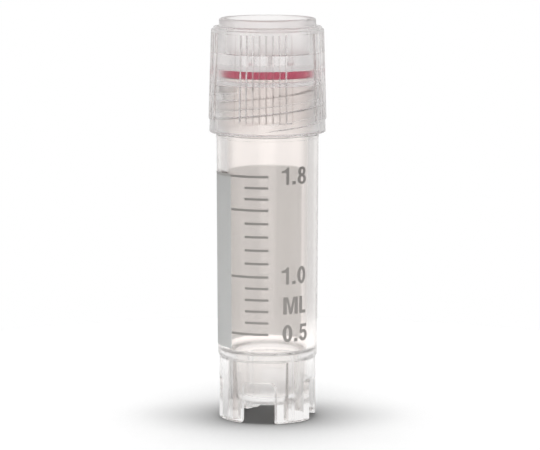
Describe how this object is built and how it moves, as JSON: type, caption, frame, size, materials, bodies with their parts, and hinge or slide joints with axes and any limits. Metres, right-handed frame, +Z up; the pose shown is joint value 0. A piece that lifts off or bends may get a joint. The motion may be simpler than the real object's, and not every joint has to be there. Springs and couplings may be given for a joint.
{
  "type": "cryogenic vial",
  "caption": "Translucent sample vial with a star foot, a ribbed screw cap on an outside thread and a red ring gasket.",
  "frame": {"origin": "centre of the foot ring, on the surface the vial stands on", "axes": "+Z up along the vial's axis, -Y towards the front, where the scale is printed"},
  "size_m": [0.014, 0.014, 0.048],
  "materials": {
    "tube_plastic": "clear natural polypropylene, satin",
    "cap_plastic": "milky natural polypropylene, fine matt",
    "gasket_silicone": "smooth dark red silicone",
    "scale_ink": "grey printing ink, satin",
    "patch_ink": "white writing ink, matt"
  },
  "bodies": {
    "tube": {"vial_tube": "tube_plastic"},
    "gasket": {"ring_gasket": "gasket_silicone"},
    "cap": {"screw_cap": "cap_plastic"}
  },
  "joints": [
    {"name": "cap_lift", "type": "slide", "parent": "tube", "child": "gasket", "axis": [0, 0, 1], "range_m": [0, 0.0081]},
    {"name": "cap_turn", "type": "hinge", "parent": "gasket", "child": "cap", "pos_m": [0, 0, 0.042], "axis": [0, 0, 1], "range_deg": [0, 720]}
  ],
  "couplings": [
    {"joint": "cap_turn", "follows": "cap_lift", "rad_per_m": 1547.6}
  ]
}
